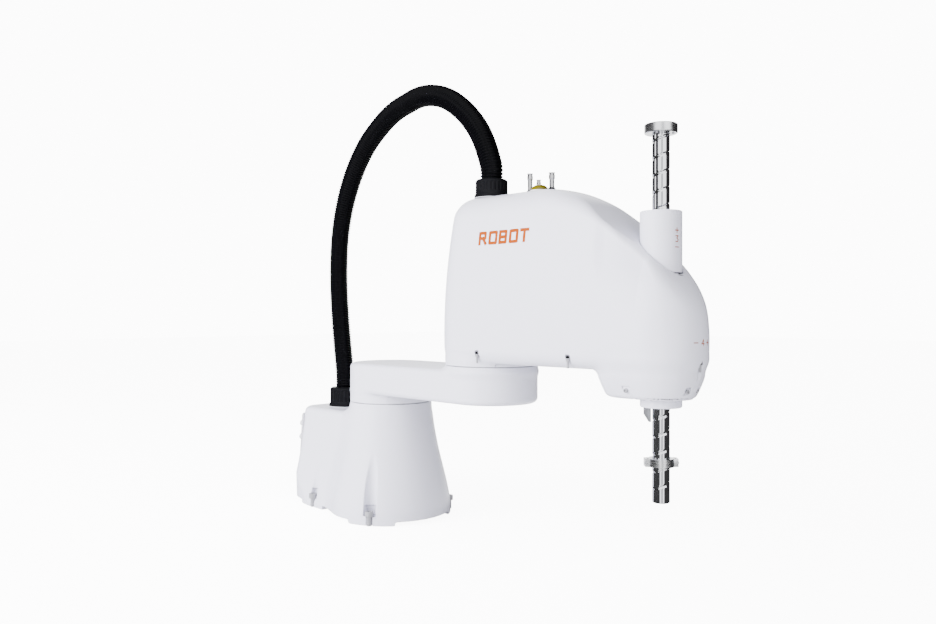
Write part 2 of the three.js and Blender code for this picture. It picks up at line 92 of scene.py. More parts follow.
def new_object(name, vertices, faces, material, smooth_angle=None):
    """A mesh object from points in millimetres."""
    mesh = bpy.data.meshes.new(name)
    mesh.from_pydata([tuple(v) for v in np.asarray(vertices) * MM], [], [tuple(f) for f in faces])
    mesh.update()
    return shaded(name, mesh, material, smooth_angle)


def shaded(name, mesh, material, smooth_angle=None):
    """An object with a smooth-shaded mesh, sharp where it turns more than smooth_angle degrees."""
    mesh.shade_smooth()
    if smooth_angle is not None:
        mesh.set_sharp_from_angle(angle=math.radians(smooth_angle))
    mesh.materials.append(MATERIALS[material])
    return linked(name, mesh)


def catmull(points, spacing):
    """Points of a centripetal Catmull-Rom curve through the given ones, a set distance apart."""
    p = np.array(points, float)
    p = np.vstack([2 * p[0] - p[1], p, 2 * p[-1] - p[-2]])
    fine = []
    for i in range(1, len(p) - 2):
        chords = np.linalg.norm(np.diff(p[i - 1:i + 3], axis=0), axis=1)
        knots = np.concatenate([[0], np.cumsum(chords ** 0.5)])
        t = np.linspace(knots[1], knots[2], 40, endpoint=False)[:, None]
        near = [((knots[j + 1] - t) * p[i - 1 + j] + (t - knots[j]) * p[i + j]) / (knots[j + 1] - knots[j])
                for j in range(3)]
        mid = [((knots[j + 2] - t) * near[j] + (t - knots[j]) * near[j + 1]) / (knots[j + 2] - knots[j])
               for j in range(2)]
        fine.append(((knots[2] - t) * mid[0] + (t - knots[1]) * mid[1]) / (knots[2] - knots[1]))
    fine = np.vstack(fine + [p[-2:-1]])
    run = np.concatenate([[0], np.cumsum(np.linalg.norm(np.diff(fine, axis=0), axis=1))])
    at = np.linspace(0, run[-1], int(round(run[-1] / spacing)) + 1)
    return np.stack([np.interp(at, run, fine[:, k]) for k in range(fine.shape[1])], 1), run[-1]


def full_turn(count):
    return np.linspace(0, 2 * np.pi, count, endpoint=False)


def level_ring(radius, turn, height):
    """A ring of points about the vertical, at one height."""
    return np.stack([radius * np.cos(turn), radius * np.sin(turn), np.full(len(turn), height)], 1)


def rings_to_faces(count, around, closed=False):
    """Quads between rings of points that follow one another."""
    faces = []
    for i in range(count if closed else count - 1):
        a, b = i * around, (i + 1) % count * around
        for j in range(around):
            k = (j + 1) % around
            faces.append((a + j, a + k, b + k, b + j))
    return faces


# Materials

def node(tree, kind, inputs=None, **settings):
    """A shader node of a kind, with its inputs linked or set."""
    made = tree.nodes.new("ShaderNode" + kind)
    for key, value in settings.items():
        setattr(made, key, value)
    for key, value in (inputs or {}).items():
        if isinstance(value, bpy.types.NodeSocket):
            tree.links.new(value, made.inputs[key])
        else:
            made.inputs[key].default_value = value
    return made


def finish_material(name, color, roughness, metallic=0.0, vary=0.04, vary_scale=14.0, rough_vary=0.06,
                    rough_scale=60.0, bump=0.02, bump_scale=900.0, stretch=(1, 1, 1), coat=0.0,
                    coat_roughness=0.1, wear=0.0, wear_color=(1, 1, 1), specular=0.5):
    """A painted, moulded or machined finish: cloudy colour and roughness, fine relief, and worn edges."""
    material = bpy.data.materials.new(name)
    material.use_nodes = True
    tree = material.node_tree
    shader = tree.nodes["Principled BSDF"]
    place = node(tree, "TexCoord").outputs["Object"]
    cloud = node(tree, "TexNoise", {"Vector": place, "Scale": vary_scale, "Detail": 4.0}).outputs["Fac"]
    dark = tuple(c * (1 - vary) for c in color) + (1,)
    light = tuple(min(1, c * (1 + vary)) for c in color) + (1,)
    tone = node(tree, "Mix", {"Factor": cloud, "A": dark, "B": light}, data_type="RGBA")
    tone_out = tone.outputs["Result"]
    if wear:
        edge = node(tree, "NewGeometry").outputs["Pointiness"]
        mask = node(tree, "MapRange", {"Value": edge, "From Min": 0.52, "From Max": 0.6, "To Max": wear})
        worn = node(tree, "Mix", {"Factor": mask.outputs["Result"], "A": tone_out, "B": (*wear_color, 1)},
                    data_type="RGBA")
        tone_out = worn.outputs["Result"]
    tree.links.new(tone_out, shader.inputs["Base Color"])
    grain_place = node(tree, "Mapping", {"Vector": place, "Scale": stretch}).outputs["Vector"]
    grain = node(tree, "TexNoise", {"Vector": grain_place, "Scale": rough_scale, "Detail": 3.0})
    gloss = node(tree, "MapRange", {"Value": grain.outputs["Fac"], "To Min": roughness - rough_vary,
                                    "To Max": roughness + rough_vary})
    tree.links.new(gloss.outputs["Result"], shader.inputs["Roughness"])
    relief = node(tree, "TexNoise", {"Vector": grain_place, "Scale": bump_scale, "Detail": 2.0})
    shape = node(tree, "Bump", {"Height": relief.outputs["Fac"], "Strength": bump, "Distance": 0.0005})
    tree.links.new(shape.outputs["Normal"], shader.inputs["Normal"])
    shader.inputs["Metallic"].default_value = metallic
    shader.inputs["IOR"].default_value = 1.5
    shader.inputs["Coat Weight"].default_value = coat
    shader.inputs["Coat Roughness"].default_value = coat_roughness
    shader.inputs["Specular IOR Level"].default_value = specular
    return material


def lens_material(name, color):
    """Coloured plastic that lets a little light through."""
    material = finish_material(name, color, 0.12, vary=0.15, vary_scale=120, rough_vary=0.04, bump=0.03,
                               coat=0.15, coat_roughness=0.08, specular=0.25)
    tree = material.node_tree
    shader = tree.nodes["Principled BSDF"]
    shader.inputs["Transmission Weight"].default_value = 0.12
    shader.inputs["IOR"].default_value = 1.49
    return material


FINISHES = {
    "white_paint": dict(color=WHITE, roughness=0.36, vary=0.015, rough_vary=0.04, bump=0.045,
                        bump_scale=700, coat=0.25, coat_roughness=0.25, wear=0.12),
    "white_cover": dict(color=WHITE, roughness=0.32, vary=0.012, rough_vary=0.04, bump=0.03,
                        bump_scale=620, coat=0.3, coat_roughness=0.2, wear=0.1),
    "cover_plate": dict(color=(0.5, 0.51, 0.53), roughness=0.42, metallic=1.0, rough_vary=0.12,
                        stretch=(1, 24, 1)),
    "panel": dict(color=(0.42, 0.42, 0.47), roughness=0.5, bump=0.12, bump_scale=1400),
    "connector_plastic": dict(color=(0.016, 0.016, 0.018), roughness=0.42, bump=0.06),
    "connector_shell": dict(color=(0.62, 0.62, 0.64), roughness=0.3, metallic=1.0, rough_vary=0.1),
    "fitting_plastic": dict(color=(0.70, 0.71, 0.75), roughness=0.25, vary=0.05, bump=0.02, coat=0.3),
    "bolt_steel": dict(color=(0.30, 0.30, 0.33), roughness=0.45, metallic=0.25, vary=0.15, rough_vary=0.12,
                       bump=0.05, bump_scale=900),
    "black_oxide": dict(color=(0.006, 0.006, 0.007), roughness=0.42, metallic=0.2, vary=0.15,
                        rough_vary=0.1, bump=0.04, specular=0.15),
    "gland_plastic": dict(color=(0.004, 0.004, 0.005), roughness=0.36, rough_vary=0.1, bump=0.08,
                          bump_scale=1200, wear=0.15, wear_color=(0.012, 0.012, 0.014), specular=0.06),
    "hose": dict(color=(0.0015, 0.0015, 0.002), roughness=0.2, rough_vary=0.06, bump=0.05, bump_scale=1500,
                 wear=0.1, wear_color=(0.008, 0.008, 0.01), specular=0.05),
    "motor_black": dict(color=(0.02, 0.02, 0.022), roughness=0.45, bump=0.08),
    "gear_steel": dict(color=(0.48, 0.49, 0.5), roughness=0.32, metallic=1.0, rough_vary=0.1,
                       stretch=(1, 1, 18)),
    "bearing_steel": dict(color=(0.62, 0.63, 0.65), roughness=0.18, metallic=1.0, stretch=(1, 1, 18)),
    "pulley_aluminium": dict(color=(0.62, 0.63, 0.65), roughness=0.35, metallic=1.0, stretch=(1, 1, 18)),
    "belt_rubber": dict(color=(0.016, 0.016, 0.016), roughness=0.75, bump=0.2, bump_scale=1600),
    "shaft_chrome": dict(color=(0.80, 0.81, 0.84), roughness=0.09, metallic=1.0, vary=0.02, rough_vary=0.03,
                         bump=0.015, bump_scale=500, stretch=(1, 1, 10)),
    "turned_aluminium": dict(color=(0.80, 0.81, 0.83), roughness=0.27, metallic=1.0, vary=0.03,
                             rough_vary=0.08, rough_scale=40, bump=0.08, bump_scale=300,
                             stretch=(1, 1, 30)),
    "stop_steel": dict(color=(0.36, 0.37, 0.4), roughness=0.35, metallic=1.0, rough_vary=0.12),
    "mark_orange": dict(color=ORANGE, roughness=0.55, vary=0.06, bump=0.03, specular=0.1),
}
MATERIALS = {name: finish_material(name, **finish) for name, finish in FINISHES.items()}
MATERIALS["lamp_lens"] = lens_material("lamp_lens", (0.115, 0.09, 0.0))
SLOT_OF = {row["node"]: row["material_slot"] for row in frame["record"]["subparts"]}


def seat(piece, body, slot, *replaced):
    """Puts a piece on a body and lets it stand for CAD nodes; slot is not used."""
    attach(piece, body)
    if replaced:
        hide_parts(*replaced)
    return piece


# Cable hose: corrugated tube in two halves that meet over the first link

HOSE_LOWER = [(-125, 190.3), (-125, 204), (-127, 225), (-131, 250), (-138, 300), (-143, 352), (-143.6, 401),
              (-139, 450), (-124, 502), (-98.7, 550), (-62, 592), (-17.8, 621.5), (4, 631.5), (24, 637.6),
              (42.4, 641)]
HOSE_UPPER = [(42.5, 641.02), (61.1, 644.5), (82, 645), (104, 641.5), (128, 633.5), (152, 620), (180, 597),
              (203, 569), (217, 541), (225, 517), (225, 501.3)]
HOSE_PITCH = 4.2
RINGS_PER_PITCH = 6
HOSE_AROUND = 48
HOSE_WALL = 2.0


def corrugated(name, route):
    """One half of the hose, with its ribs, along a route of (x, z) points; also gives its path and length."""
    centres, length = catmull(route, HOSE_PITCH / RINGS_PER_PITCH)
    step = np.gradient(centres, axis=0)
    step /= np.linalg.norm(step, axis=1)[:, None]
    across = np.stack([-step[:, 1], step[:, 0]], 1)
    turn = full_turn(HOSE_AROUND)
    along = np.arange(len(centres)) / RINGS_PER_PITCH
    wave = np.cos(2 * np.pi * along)
    radius = HOSE_R - 0.9 + 0.9 * np.sign(wave) * np.abs(wave) ** 0.6
    stations = [(i, radius[i]) for i in range(len(centres))]
    stations += [(i, HOSE_R - HOSE_WALL - 1.8) for i in range(len(centres) - 1, -1, -RINGS_PER_PITCH * 2)]
    rings = []
    for i, r in stations:
        flat = centres[i] + np.outer(r * np.cos(turn), across[i])
        rings.append(np.stack([flat[:, 0], r * np.sin(turn), flat[:, 1]], 1))
    faces = rings_to_faces(len(rings), HOSE_AROUND, closed=True)
    piece = new_object(name, np.vstack(rings), faces, "hose")
    flip_outward(piece)
    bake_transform(piece)
    path = [(x * MM, 0, z * MM) for x, z in [*centres[::RINGS_PER_PITCH], centres[-1]]]
    return piece, path, length * MM


def flip_outward(piece, weld=False):
    """Turns all faces outward; weld first joins the points that fall together on an axis."""
    shape = bmesh.new()
    shape.from_mesh(piece.data)
    if weld:
        bmesh.ops.remove_doubles(shape, verts=shape.verts, dist=1e-7)
        bmesh.ops.dissolve_degenerate(shape, edges=shape.edges, dist=1e-7)
    bmesh.ops.recalc_face_normals(shape, faces=shape.faces)
    shape.to_mesh(piece.data)
    shape.free()


def add_hose():
    lower, path, length = corrugated("hose_lower", HOSE_LOWER)
    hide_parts("conduit_lower")
    upper, path, length = corrugated("hose_upper", HOSE_UPPER)
    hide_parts("conduit_upper")


add_hose()


# Fields: signed distances in millimetres, negative inside

def meet(a, b, r):
    """What is inside both, with the outer corner between them rounded to radius r."""
    return minimum(-r, maximum(a, b)) + hypot(maximum(r + a, 0), maximum(r + b, 0))


def join(a, b, r):
    """What is inside either, with the inner corner between them filled to radius r."""
    return -meet(-a, -b, r)


def capsule(x, y, x0, r0, x1, r1):
    """The outline around two circles on the X axis."""
    length = x1 - x0
    sine = (r0 - r1) / length
    cosine = math.sqrt(1 - sine * sine)
    px, py = x - x0, np.abs(y)
    side = px * cosine - py * sine
    start = hypot(px, py) - r0
    end = hypot(px - length, py) - r1
    return np.where(side < 0, start, np.where(side > cosine * length, end, py * cosine + px * sine - r0))


def rounded_box(x, y, x0, x1, half, r):
    """A rectangle's outline with round corners; half is its half width in Y."""
    dx = np.abs(x - (x0 + x1) / 2) - (x1 - x0) / 2 + r
    dy = np.abs(y) - half + r
    return hypot(maximum(dx, 0), maximum(dy, 0)) + minimum(maximum(dx, dy), 0) - r


def ease(value, low, high):
    t = np.clip((value - low) / (high - low), 0, 1)
    return t * t * (3 - 2 * t)


def surface_net(field, low, high, step):
    """The zero surface of a field as quads, its vertices pulled onto it, with the field's own normals."""
    low = np.array(low, float)
    count = np.ceil((np.array(high) - low) / step).astype(int) + 1
    axes = [low[i] + step * np.arange(count[i]) for i in range(3)]
    value = np.empty(count)
    for i in range(count[0]):
        y, z = np.meshgrid(axes[1], axes[2], indexing="ij")
        points = np.stack([np.full(y.size, axes[0][i]), y.ravel(), z.ravel()], 1)
        value[i] = field(points).reshape(y.shape)
    inside = value < 0
    cells = count - 1
    corner = [(i, j, k) for i in (0, 1) for j in (0, 1) for k in (0, 1)]
    full = sum(inside[i:i + cells[0], j:j + cells[1], k:k + cells[2]].astype(np.int8) for i, j, k in corner)
    crossed = (full > 0) & (full < 8)
    index = np.full(cells, -1)
    index[crossed] = np.arange(crossed.sum())
    cell = np.argwhere(crossed)
    total, hits = np.zeros((len(cell), 3)), np.zeros(len(cell))
    for axis in range(3):
        for a in [c for c in corner if c[axis] == 0]:
            a = np.array(a)
            b = a + np.eye(3, dtype=int)[axis]
            va, vb = value[tuple((cell + a).T)], value[tuple((cell + b).T)]
            cut = (va < 0) != (vb < 0)
            t = np.divide(va, va - vb, out=np.zeros_like(va), where=cut)
            total[cut] += (a + t[:, None] * (b - a))[cut]
            hits += cut
    vertices = low + step * (cell + total / hits[:, None])
    faces = []
    for axis in range(3):
        u, v = (axis + 1) % 3, (axis + 2) % 3
        first = np.moveaxis(inside, axis, 0)[:-1]
        second = np.moveaxis(inside, axis, 0)[1:]
        crossing = np.moveaxis(first != second, 0, axis)
        starts_inside = np.moveaxis(first, 0, axis)
        at = np.argwhere(crossing)
        at = at[(at[:, u] > 0) & (at[:, v] > 0) & (at[:, u] < cells[u]) & (at[:, v] < cells[v])]
        offset_u, offset_v = np.eye(3, dtype=int)[u], np.eye(3, dtype=int)[v]
        round_edge = (0 * offset_u, offset_u, offset_u + offset_v, offset_v)
        quad = np.stack([index[tuple((at - d).T)] for d in round_edge], 1)
        flip = ~starts_inside[tuple(at.T)]
        quad[flip] = quad[flip][:, ::-1]
        faces.append(quad)
    for _ in range(4):
        slope = gradient(field, vertices)
        reach = field(vertices) / maximum((slope * slope).sum(1), 0.25)
        vertices = vertices - np.clip(reach, -step, step)[:, None] * slope
    normals = gradient(field, vertices)
    normals /= maximum(np.linalg.norm(normals, axis=1), 1e-9)[:, None]
    return vertices, np.vstack(faces), normals


def gradient(field, points, h=0.05):
    return np.stack([(field(points + h * e) - field(points - h * e)) / (2 * h) for e in np.eye(3)], 1)


def skin(name, field, low, high, step, material):
    """A mesh of a field's surface, shaded with the field's normals."""
    vertices, faces, normals = surface_net(field, low, high, step)
    piece = new_object(name, vertices, faces, material)
    piece.data.normals_split_custom_set_from_vertices([tuple(n) for n in normals])
    return piece


# Base

COLUMN = [(-6, 94.6), (7, 94.4), (20, 93.9), (45, 89.4), (71, 83.2), (96, 77), (121, 71.8), (147, 67.2),
          (165, 65), (178, 64.2), (190, 63.6)]
COLUMN_TOP = 176.7
SKIRT = 5.5
BOX_TOP = 158
BOLT_PLACES = [(49, 80), (49, -80), (-113, 72), (-113, -72)]
BOLT_SEAT = 14
POCKET_TOP = 28
SCOOP_TOP = 99
GEAR_DEPTH = 38.6


def smooth_line(points):
    """A function of height that follows a smooth curve through (z, value) points."""
    fine, _ = catmull(points, 0.5)
    return lambda z: np.interp(z, fine[:, 0], fine[:, 1])


column_radius = smooth_line(COLUMN)


def rear_box(x, y, z, inset=0.0):
    """Sloping connector housing behind the column."""
    low = np.clip(1 - (z - SKIRT) / (BOX_TOP - SKIRT), 0, 1)
    half = 55 + 19 * low * low
    back = -183 - 17 * low + inset
    spread = 74 - 14 * ease(-x, 120, 200) * low
    return rounded_box(x, y, back, 40, minimum(half, spread) - inset, maximum(30 - inset, 6))


def base_outside(x, y, z):
    r = hypot(x, y)
    column = (r - column_radius(z)) * 0.97
    column = meet(column, z - COLUMN_TOP, 1.2)
    box = meet(rear_box(x, y, z), z - BOX_TOP, 9.0)
    body = join(column, box, 16.0)
    angle = np.abs(np.degrees(np.arctan2(y, x)))
    front_foot = np.abs(angle - 55.6) - 26
    rear_foot = np.abs(x + 117) - 33
    foot = np.where(x > -60, front_foot * 1.6, rear_foot)
    foot = maximum(foot, 52 - np.abs(y))
    floor = np.where(foot < 0, 0, SKIRT)
    floor = SKIRT * ease(foot, -0.6, 0.6)
    return meet(body, floor - z, 1.0)


def bolt_scoops(x, y, z):
    """Leaning round scoops down to the bolts, each ending in a pocket with the bolt's seat."""
    scoop = np.full(x.shape, 1e3)
    for bx, by in BOLT_PLACES:
        front = bx > 0
        reach = math.hypot(bx, by)
        out = (bx / reach, by / reach) if front else (0, math.copysign(1, by))
        depth = (x - bx) * out[0] + (y - by) * out[1]
        side = (x - bx) * out[1] - (y - by) * out[0]
        r, inner_low, inner_high = (9.3, -13.0, -17.6) if front else (8.2, -8.5, -10.2)
        inner = inner_low + (inner_high - inner_low) * (z - POCKET_TOP) / (SCOOP_TOP - POCKET_TOP)
        channel = maximum(hypot(depth - inner - r, side), BOLT_SEAT - z + r) - r
        channel = minimum(channel, maximum(np.abs(side) - r, maximum(inner + r - depth, BOLT_SEAT - z)))
        pocket = maximum(np.abs(side) - r, maximum(inner_low - 2 - depth, np.abs(z - 21) - 7))
        scoop = minimum(scoop, minimum(channel, pocket))
        scoop = minimum(scoop, hypot(x - bx, y - by) - 4.5)
    return scoop


def base_field(p):
    x, y, z = p.T
    r = hypot(x, y)
    body = base_outside(x, y, z)
    body = meet(body, -bolt_scoops(x, y, z), 1.6)
    inner = meet(r - column_radius(z) + 20, z - 126, 4.0)
    inner = minimum(inner, meet(rear_box(x, y, z, 16.0), z - BOX_TOP + 8, 4.0))
    inner = maximum(inner, 12 - z)
    opening = maximum(minimum(r - 50, maximum(np.abs(x + 108) - 68, np.abs(y) - 42)), z - 16)
    bore = minimum(r - 26, maximum(r - 53, COLUMN_TOP - GEAR_DEPTH - z))
    bore = maximum(bore, 120 - z)
    window = maximum(maximum(np.abs(y) - 36, np.abs(z - 92) - 50), x + 165)
    gland = maximum(hypot(x + 125, y) - 14, BOX_TOP - 14 - z)
    hollow = minimum.reduce([inner, opening, bore, window, gland])
    return meet(body, -hollow, 1.2)


def add_base():
    piece = skin("base_shell", base_field, (-206, -100, -2), (100, 100, 181), 2.1, "white_paint")
    seat(piece, "base", "white_paint", "base_casting")


# First link

def arm1_field(p):
    x, y, z = p.T
    plan = capsule(x, y, 0, 64, J2_X, 64)
    link = meet(meet(plan, z - 238, 8.0), 192 - z, 7.0)
    neck = meet(hypot(x, y) - 64, 177 - z, 1.0)
    neck = maximum(neck + 5 * ease(z, 193, 204), z - 215)
    ring = meet(hypot(x - J2_X, y) - 64.3, z - 243.3, 1.0)
    ring = maximum(ring + 9 * ease(-z, -237, -222), 205 - z)
    body = join(join(link, neck, 4.0), ring, 8.0)
    pocket = maximum(capsule(x, y, 76, 50, 149, 50), z - 230)
    pocket = maximum(pocket, 3 - np.abs(x - 112.5))
    pocket = maximum(pocket, minimum(194 - z, 64 - hypot(x, y)))
    body = meet(body, -pocket, 2.0)
    near, far = hypot(x, y), hypot(x - J2_X, y)
    for r, plane, up in ((near, 176.7, -1), (far, SEAM_2, 1)):
        rise = (z - plane) * up
        flange = maximum(r - 43.4, rise - 5.3)
        boss = maximum(r - 33.6, rise - 16.3)
        part = maximum(minimum(flange, boss), -rise - 4)
        body = minimum(body, part)
    hole = minimum(maximum(near - 8, z - 232), maximum(far - 8, 198 - z))
    return meet(body, -hole, 1.0)


def add_arm1():
    piece = skin("arm1_link", arm1_field, (-68, -68, 156), (294, 68, 263), 2.0, "white_paint")
    seat(piece, "arm1", "white_paint", "arm1_casting")


# Second link

FLOOR_2 = 249.0
SEAM_2 = 243.6
NOSE_BOTTOM = 217.5
CROWN = 475.0
COVER_WALL = 5.4
nose_reach = smooth_line([(180, 90), (287, 80), (304, 68), (318, 59.5), (332, 52.5), (350.5, 45), (369, 37.5),
                          (380, 33.5), (391, 31), (407, 30), (480, 28)])
COVER_SCREWS = [(260, 62.4), (260, -62.4), (408, 56), (408, -56), (550.4, 0)]
POCKET_Z = 228
SIDE_POCKET = (483, 44)
FRONT_POCKET_R = 41
FRONT_POCKETS = (-14.0, 14.0)
SCREW_GAP = 0.2


def cover_plan(x, y, z):
    """Outline of the second link at height z: the walls lean in above their widest line."""
    lean = 7 * (maximum(z - 287, 0) / 115) ** 2 + 1.3 * (maximum(287 - z, 0) / 40) ** 2
    return capsule(x, y, J2_X, 66, J3_X, 54) + lean


def falling(x, z, at_x, at_z, grade):
    """What lies below a plane that passes through (at_x, at_z) and falls towards the front."""
    return (z - at_z + grade * (x - at_x)) / math.hypot(1, grade)


def cover_outside(x, y, z):
    """The cover's outer surface: body with its crown and slopes, ring at the second axis, and nose."""
    plan = cover_plan(x, y, z)
    crown = z - (CROWN - y * y / 420)
    slope = falling(x, z + y * y / 1200, 453, 435.5, 0.62)
    steep = falling(x, z + y * y / 1200, 510, 388, 1.05)
    front = falling(x + y * y / 120, z, 549, 335, 3.5) * 0.85
    top = meet(meet(crown, slope, 30.0), meet(steep, front, 22.0), 50.0)
    reach = nose_reach(z) + 0.36 * maximum(J3_X - x, 0) + 40 * ease(-x, -455, -400)
    dome = (hypot(maximum(x - J3_X, 0), y) - reach) * 0.85
    plan = meet(plan, dome, 9.0)
    edge = 25 - 17 * ease(x, 385, 450)
    body = meet(plan, top, edge)
    tail = 1 - ease(x, 245, 300)
    low_plan = meet(body, FLOOR_2 - z, 18.0)
    ring = maximum(hypot(x - J2_X, y) - 64.4 + 9 * ease(z, 250, 268), z - 290)
    body = join(low_plan, ring, 5.0 + 4 * tail)
    body = meet(body, SEAM_2 + 0.3 - z, 1.0)
    tuck = 2.2 * ease(z, 240, 258) + 5 * ease(z, 258, 275)
    nose = capsule(x, y, 470, 55, J3_X, 54) + maximum(275 - z, 0) ** 2 / 205 + tuck
    step = 430 + (FLOOR_2 - z) * 0.32 - x
    nose = meet(nose, step, 8.0)
    nose = meet(nose, NOSE_BOTTOM - z, 5.0)
    nose = maximum(nose, z - 285)
    return join(body, nose, 7.0)


def channel_top(x):
    """How high a cover screw's channel goes."""
    return 266 if x < 500 else 262


def cover_channels(x, y, z):
    """Access channels and pockets for the cover's screws."""
    channel = np.full(x.shape, 1e3)
    for sx, sy in COVER_SCREWS:
        channel = minimum(channel, maximum(hypot(x - sx, y - sy) - 3.0, z - channel_top(sx)))
    for angle in FRONT_POCKETS:
        c, s = math.cos(math.radians(angle)), math.sin(math.radians(angle))
        out, across = (x - J3_X) * c + y * s, (x - J3_X) * s - y * c
        pocket = maximum(np.abs(across) - 4, np.abs(z - POCKET_Z) - 5)
        channel = minimum(channel, maximum(pocket, FRONT_POCKET_R - out))
    for side in (-1, 1):
        pocket = maximum(np.abs(x - SIDE_POCKET[0]) - 5, np.abs(z - POCKET_Z) - 5)
        channel = minimum(channel, maximum(pocket, SIDE_POCKET[1] - side * y))
    return channel


def cover_field(p):
    x, y, z = p.T
    outside = cover_outside(x, y, z)
    shell = maximum(outside, -(outside + COVER_WALL))
    plan = cover_plan(x, y, z)
    floor_cut = maximum(maximum(plan + 20, x - 425), z - 256)
    floor_cut = maximum(floor_cut, 64.8 - hypot(x - J2_X, y))
    ring_cut = maximum(hypot(x - J2_X, y) - 60.2, z - 256)
    nose_cut = maximum(hypot(x - J3_X, y) - 36.8, z - 226)
    sleeve_cut = maximum(hypot(x - J3_X, y) - 24.4, 330 - z)
    gland_cut = maximum(hypot(x - J2_X, y) - 11, CROWN - 20 - z)
    cuts = minimum.reduce([floor_cut, ring_cut, nose_cut, sleeve_cut, gland_cut, cover_channels(x, y, z)])
    return meet(shell, -cuts, 0.9)


def frame_field(p):
    x, y, z = p.T
    plan = cover_plan(x, y, 287 + 0 * z)
    plate = maximum(maximum(plan + 11, 253.6 - z), z - 258)
    near, far = hypot(x - J2_X, y), hypot(x - J3_X, y)
    low_plate = maximum(maximum(plan + 20.6, x - 424), maximum(FLOOR_2 + 0.2 - z, z - 258))
    plate = minimum(plate, maximum(low_plate, 65.2 - near))
    hub = maximum(maximum(near - 59.6, SEAM_2 + 0.5 - z), z - 293.5)
    nose = maximum(maximum(far - 36.2, NOSE_BOTTOM + 0.1 - z), z - 290)
    posts = maximum(maximum(np.abs(x - J3_X) - 9, np.abs(np.abs(y) - 34) - 3), np.abs(z - 316) - 28)
    collar = maximum(np.abs(far - 31.8) - 3.2, np.abs(z - 332) - 10)
    body = minimum.reduce([plate, hub, nose, posts, collar])
    bores = minimum.reduce([maximum(near - 53, z - SEAM_2 - GEAR_DEPTH), near - 26,
                               maximum(far - 31, maximum(224 - z, z - 300)), maximum(far - 22, z - 230)])
    return meet(body, -bores, 0.8)


def add_arm2():
    cover = skin("arm2_cover_shell", cover_field, (156, -70, 214), (558, 70, 478), 1.9, "white_cover")
    seat(cover, "arm2", "white_cover", "arm2_cover")
    inside = skin("arm2_frame_casting", frame_field, (160, -66, 214), (556, 66, 346), 2.2, "white_paint")
    seat(inside, "arm2", "white_paint", "arm2_frame")


add_base()
add_arm1()
add_arm2()


# Turned pieces

def filleted(outline, r):
    """Rounds every corner of a closed outline; r is one radius or one for each corner."""
    count = len(outline)
    radii = r if isinstance(r, (list, tuple)) else [r] * count
    points = []
    for i in range(count):
        here = np.array(outline[i], float)
        before = np.array(outline[i - 1], float) - here
        after = np.array(outline[(i + 1) % count], float) - here
        reach = min(radii[i], 0.45 * np.linalg.norm(before), 0.45 * np.linalg.norm(after))
        if reach < 0.02:
            points.append(here)
            continue
        start = here + before / np.linalg.norm(before) * reach
        end = here + after / np.linalg.norm(after) * reach
        for t in (0, 0.25, 0.5, 0.75, 1):
            points.append((1 - t) ** 2 * start + 2 * t * (1 - t) * here + t * t * end)
    return points


def lathe(name, outline, at, material, r=0.4, segments=96, flutes=None, axis="z"):
    """Turns a closed [radius, height] outline about the vertical through at, or about -X when axis is -x.

    flutes = (count, depth, low, high) cuts shallow finger flutes into the outside between two heights.
    """
    profile = filleted(outline, r)
    if flutes:
        profile = refine(profile, 1.2)
    turn = full_turn(segments)
    rings = []
    outer = max(q[0] for q in profile)
    for radius, height in profile:
        radii = np.full(segments, radius)
        if flutes and flutes[2] < height < flutes[3] and radius > outer * 0.8:
            radii = radii - flutes[1] * (0.5 + 0.5 * np.cos(turn * flutes[0])) ** 2
        rings.append(level_ring(radii, turn, height))
    points = np.vstack(rings)
    if axis == "-x":
        points = np.stack([-points[:, 2], points[:, 1], points[:, 0]], 1)
    points = points + np.array(at, float)
    piece = new_object(name, points, rings_to_faces(len(rings), segments, closed=True), material, 40)
    flip_outward(piece, weld=True)
    return piece


def turned(name, outline, at, slot, body, *replaced, **shape):
    """A lathe piece in its slot's finish, seated on a body."""
    return seat(lathe(name, outline, at, slot, **shape), body, slot, *replaced)


def refine(profile, spacing):
    points = []
    for i, here in enumerate(profile):
        there = profile[(i + 1) % len(profile)]
        parts = max(1, int(np.linalg.norm(there - here) / spacing))
        points += [here + (there - here) * k / parts for k in range(parts)]
    return points


def prism(name, outline, low, high, material, bevel=0.4, place=None):
    """A flat outline in X and Y raised from low to high, with bevelled edges, then placed by a matrix."""
    shape = bmesh.new()
    face = shape.faces.new([shape.verts.new((x * MM, y * MM, low * MM)) for x, y in outline])
    top = bmesh.ops.extrude_face_region(shape, geom=[face])
    moved = [v for v in top["geom"] if isinstance(v, bmesh.types.BMVert)]
    bmesh.ops.translate(shape, verts=moved, vec=(0, 0, (high - low) * MM))
    bmesh.ops.recalc_face_normals(shape, faces=shape.faces)
    edges = [e for e in shape.edges if e.calc_face_angle(0) > math.radians(25)]
    bmesh.ops.bevel(shape, geom=edges, offset=bevel * MM, segments=3, affect="EDGES", profile=0.5)
    if place is not None:
        bmesh.ops.transform(shape, matrix=place, verts=shape.verts)
    mesh = bpy.data.meshes.new(name)
    shape.to_mesh(mesh)
    shape.free()
    return shaded(name, mesh, material, 35)


def circle(x, y, r, count=32, start=0.0, end=360.0):
    step = np.radians(np.linspace(start, end, count, endpoint=end - start < 359.9))
    return [(x + r * math.cos(a), y + r * math.sin(a)) for a in step]


